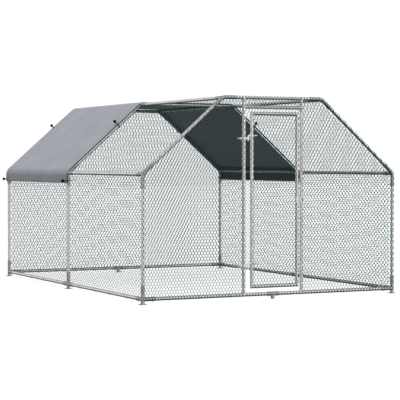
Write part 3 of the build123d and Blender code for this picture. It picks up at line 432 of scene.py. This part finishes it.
front_y, rear_y, door_y = -BAY - NET_OUT, BAY + NET_OUT, -BAY - 0.0179
lengths, _ = outline(OVER, NET_LOW)
ends = np.cumsum([0.0] + lengths)
steps = np.concatenate([[e0] if k % 2 == 0 else np.linspace(e0, e1, 6)[:-1] for k, (e0, e1) in enumerate(zip(ends, ends[1:]))] + [ends[-1:]])
gx, gz, _, _ = walk(steps, OVER, NET_LOW)
gable = [(float(p), float(q)) for p, q in zip(gx, gz)][::-1]  # anticlockwise from the right foot
top = TOP_Z + OVER
flat_netting("rear_gable_wire", "rear_gable_netting", "frame", gable, rear_y, 1, REAR_MESH, start=(0.62, 0.17))
flat_netting(
    "front_left_wire", "front_left_netting", "frame",
    [(-INNER_X, NET_LOW), (-INNER_X, top)] + [p for p in gable if p[0] < -INNER_X], front_y, -1, LEFT_MESH,
)
flat_netting(
    "front_right_wire", "front_right_netting", "frame",
    [p for p in gable if p[0] > INNER_X] + [(INNER_X, top), (INNER_X, NET_LOW)], front_y, -1, RIGHT_MESH,
    [(JAMB_X - 0.01, JAMB_X + 0.008, HASP_Z - 0.012, HASP_Z + 0.012)],
)
flat_netting(
    "door_surround_wire", "door_surround_netting", "frame",
    [(-INNER_X, LINTEL_Z - 0.010), (INNER_X, LINTEL_Z - 0.010), (INNER_X, top), (-INNER_X, top)], front_y, -1, FRONT_MESH, amount=0.0,
    also=[[(-INNER_X, NET_LOW), (INNER_X, NET_LOW), (INNER_X, BASE_Z + OVER), (-INNER_X, BASE_Z + OVER)]],
)
flat_netting(
    "door_wire", "door_netting", "door",
    [
        (STILE_L - LEAF_OVER, DOOR_LOW - LEAF_OVER), (STILE_R + LEAF_OVER, DOOR_LOW - LEAF_OVER),
        (STILE_R + LEAF_OVER, DOOR_HIGH + LEAF_OVER), (STILE_L - LEAF_OVER, DOOR_HIGH + LEAF_OVER),
    ],
    door_y, -1, FRONT_MESH,
    # cut out at the hasp, and where the swung leaf passes the tie rings of the jamb
    [(0.248, 0.3, HASP_Z - 0.031, HASP_Z + 0.031)] + [(STILE_L - 0.02, STILE_L - 0.002, z - 0.03, z + 0.03) for z in RING_Z],
)

# ---------------------------------------------------------------- roof cover
lengths, _ = outline(COVER_OUT, HEM_Z)
ends = np.cumsum([0.0] + lengths)
total = ends[9]
rows_s, rows_y = ((300, 140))
lines_y = np.concatenate([[COVER_Y0 + y for y, _, _ in EDGE_SHADE_STRIP], np.linspace(COVER_Y0 + 0.022, COVER_Y1, rows_y)])
S, Y = np.meshgrid(np.linspace(0, total, rows_s + 1), lines_y, indexing="ij")
x, z, nx, nz = walk(S.ravel(), COVER_OUT, HEM_Z)
x, z, nx, nz = (q.reshape(S.shape) for q in (x, z, nx, nz))

from_hem = np.minimum(S, total - S)
drop = lengths[0] + lengths[1] * 0.5
across = (Y - COVER_Y0) / (COVER_Y1 - COVER_Y0)
free_hem = np.clip(1 - from_hem / drop, 0, 1) * np.sin(np.pi * np.clip(across, 0, 1)) ** 0.6
lift = 0.011 * free_hem * (1 + 0.35 * np.sin(11 * across + 0.8 * np.sign(S - total / 2)))
tie_s = [TIE_HEM_Z - HEM_Z, ends[2] - TAN_E + TIE_SLOPE]
tie_points = [(s, y) for y in EYELET_Y for s in tie_s] + [(total - s, y) for y in EYELET_Y for s in tie_s]
for n, (s, y) in enumerate(tie_points):
    ds, dy = S - s, Y - y
    away = np.hypot(ds, dy)
    angle = np.arctan2(dy, ds)
    lift += 0.0035 * np.exp(-away / 0.16) * (0.5 + 0.5 * np.cos(7 * angle + n)) * np.clip(away / 0.03, 0, 1)
lift += 0.0008 * (1 + np.sin(5.1 * S + 2.2 * Y) * np.sin(3.7 * Y + 0.6))
edge = np.minimum(np.minimum(S, total - S), np.minimum(Y - COVER_Y0, COVER_Y1 - Y))
thick = np.where(edge < 0.026, 0.0009, 0.0004)
# the lines of the near-black front strip (painted shade) are drawn down towards the tube, further on the left than on
# the right
for column, (_, left, right) in enumerate(EDGE_SHADE_STRIP):
    lift[:, column] = np.interp(S[:, column], [total * 0.42, total * 0.58], [left, right])
outer = np.stack([x + nx * (lift + thick), Y, z + nz * (lift + thick)], -1)
inner = np.stack([x + nx * (lift - 0.0004), Y, z + nz * (lift - 0.0004)], -1)

count_s, count_y = S.shape
index = np.arange(count_s * count_y).reshape(count_s, count_y)
shift = count_s * count_y
q_out = np.stack([index[:-1, :-1], index[:-1, 1:], index[1:, 1:], index[1:, :-1]], -1).reshape(-1, 4)
q_in = q_out[:, ::-1] + shift
rim = np.concatenate([index[0, :], index[1:, -1], index[-1, -2::-1], index[-2:0:-1, 0]])
nxt = np.roll(rim, -1)
q_rim = np.stack([rim, rim + shift, nxt + shift, nxt], -1)
faces = np.concatenate([q_out, q_in, q_rim])
mid_edge = edge[:-1, :-1].reshape(-1)
hem_face = mid_edge < 0.022
# faces of the near-black front strip and of the front rim: painted shade, the shadow under the cover's edge
shade_strip_faces = np.tile(np.arange(count_y - 1) == 0, count_s - 1)
front_rim = (rim % count_y == 0) & (nxt % count_y == 0)
slots = np.concatenate([np.where(shade_strip_faces, 3, np.where(hem_face, 2, 0)), np.where(shade_strip_faces, 3, 1), np.where(front_rim, 3, 2)])
mesh = bpy.data.meshes.new("roof_cover_cloth")
mesh.from_pydata(np.concatenate([outer.reshape(-1, 3), inner.reshape(-1, 3)]).tolist(), [], faces.tolist())
for material in (outer_mat, inner_mat, hem_mat, edge_shade_mat):
    mesh.materials.append(material)
mesh.polygons.foreach_set("material_index", slots.astype(np.int32))
flat = np.concatenate([np.stack([Y.ravel(), S.ravel()], -1)] * 2)
uv = mesh.uv_layers.new(name="cloth")
uv.data.foreach_set("uv", flat[faces.ravel()].astype(np.float32).ravel())
mesh.polygons.foreach_set("use_smooth", np.ones(len(faces), bool))
mesh.update()
cover = bpy.data.objects.new("roof_cover_cloth", mesh)
scene.collection.objects.link(cover)
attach(cover, "frame")
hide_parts("roof_cover")

# eyelets pressed into the cover at the ties
for n, (s, y) in enumerate(tie_points):
    ex, ez, enx, enz = (float(q[0]) for q in walk([s], COVER_OUT, HEM_Z))
    bpy.ops.mesh.primitive_torus_add(major_radius=0.0075, minor_radius=0.0021, major_segments=28, minor_segments=10)
    ring = bpy.context.object
    ring.name = "cover_eyelet_%d" % (n + 1)
    ring.location = (ex + enx * 0.002, y, ez + enz * 0.002)
    ring.rotation_mode = "QUATERNION"
    ring.rotation_quaternion = Vector((enx, 0, enz)).to_track_quat("Z", "Y")
    ring.data.materials.append(zinc_mat)
    ring.data.polygons.foreach_set("use_smooth", np.ones(len(ring.data.polygons), bool))
    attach(ring, "frame")

# ---------------------------------------------------------------- floor, light, camera
def stage_only(obj, glow, albedo):
    """A plain white surface that the camera sees and that throws no light on the object."""
    mat, _, bsdf = principled(obj.name + "_white")
    bsdf.inputs["Base Color"].default_value = (albedo, albedo, albedo, 1)
    bsdf.inputs["Roughness"].default_value = 1.0
    bsdf.inputs["Specular IOR Level"].default_value = 0.0
    bsdf.inputs["Emission Color"].default_value = (1, 1, 1, 1)
    bsdf.inputs["Emission Strength"].default_value = glow
    obj.data.materials.append(mat)
    obj.visible_diffuse = obj.visible_glossy = obj.visible_transmission = False
    obj.visible_volume_scatter = obj.visible_shadow = False


bpy.ops.mesh.primitive_plane_add(size=120, location=(0, 0, 0))
floor = bpy.context.object
floor.name = "floor"
stage_only(floor, 0.90, 0.13)
bpy.ops.mesh.primitive_uv_sphere_add(segments=64, ring_count=32, radius=90)
backdrop = bpy.context.object
backdrop.name = "backdrop"
stage_only(backdrop, 1.02, 0.0)

world = bpy.data.worlds.new("studio")
scene.world = world
world.use_nodes = True
tree = world.node_tree


def node(kind, **values):
    made = tree.nodes.new(kind)
    for key, value in values.items():
        setattr(made, key, value)
    return made


direction = node("ShaderNodeTexCoord").outputs["Generated"]
split = node("ShaderNodeSeparateXYZ")
tree.links.new(direction, split.inputs[0])
height = node("ShaderNodeMapRange")
height.inputs["From Min"].default_value, height.inputs["From Max"].default_value = -1.0, 1.0
tree.links.new(split.outputs["Z"], height.inputs["Value"])
levels = node("ShaderNodeValToRGB")
levels.color_ramp.interpolation = "B_SPLINE"
for n, (z, value) in enumerate(SKY):
    stop = levels.color_ramp.elements[n] if n < 2 else levels.color_ramp.elements.new(0.5 + 0.5 * z)
    stop.position = 0.5 + 0.5 * z
    stop.color = (value, value, value, 1)
tree.links.new(height.outputs["Result"], levels.inputs["Fac"])


def lobe(towards, start, end, low, high):
    """A soft patch of the studio around one direction: low outside it, high in its middle."""
    dot = node("ShaderNodeVectorMath", operation="DOT_PRODUCT")
    dot.inputs[1].default_value = Vector(towards).normalized()
    tree.links.new(direction, dot.inputs[0])
    patch = node("ShaderNodeMapRange", interpolation_type="SMOOTHSTEP")
    for key, value in zip(("From Min", "From Max", "To Min", "To Max"), (start, end, low, high)):
        patch.inputs[key].default_value = value
    tree.links.new(dot.outputs["Value"], patch.inputs["Value"])
    return patch.outputs["Result"]


dim = node("ShaderNodeMath", operation="MULTIPLY")
tree.links.new(levels.outputs["Color"], dim.inputs[0])
tree.links.new(lobe((0.432, 0.902, 0.0), 0.0, 0.95, 1.0, FAR), dim.inputs[1])
lit = dim.outputs[0]
for patch in (
    lobe(KEY, 0.72, 0.97, 0.0, KEY_LIGHT),
    lobe(SIDE, 0.35, 0.98, 0.0, SIDE_LIGHT),
    lobe(DARK, 0.35, 0.98, 0.0, DARK_LIGHT),
):
    add = node("ShaderNodeMath", operation="ADD")
    tree.links.new(lit, add.inputs[0])
    tree.links.new(patch, add.inputs[1])
    lit = add.outputs[0]
tree.links.new(lit, tree.nodes["Background"].inputs["Strength"])
tree.nodes["Background"].inputs["Color"].default_value = (1, 1, 1, 1)

sun = bpy.data.lights.new("overhead", "SUN")
sun.energy = OVERHEAD
sun.angle = math.radians(70)
lamp = bpy.data.objects.new("overhead", sun)
lamp.rotation_euler = (math.radians(8), math.radians(-12), 0)
lamp.visible_glossy = False
scene.collection.objects.link(lamp)
sun = bpy.data.lights.new("floor_bounce", "SUN")
sun.energy = BOUNCE
sun.angle = math.radians(30)
lamp = bpy.data.objects.new("floor_bounce", sun)
lamp.rotation_euler = (math.radians(180), 0, 0)
lamp.visible_glossy = False
scene.collection.objects.link(lamp)

camera_data = bpy.data.cameras.new("camera")
camera_data.sensor_width = 36.0
camera_data.lens = 130.447
camera_data.clip_end = 300
camera = bpy.data.objects.new("camera", camera_data)
camera.location = (-6.8556, -14.2680, 1.3262)
camera.rotation_euler = (Vector((0.1566, 0.0, 0.9158)) - camera.location).to_track_quat("-Z", "Y").to_euler()
scene.collection.objects.link(camera)
scene.camera = camera

scene.view_settings.view_transform = "Standard"
scene.view_settings.look = "None"
scene.view_settings.gamma = 0.70

bpy.context.view_layer.update()
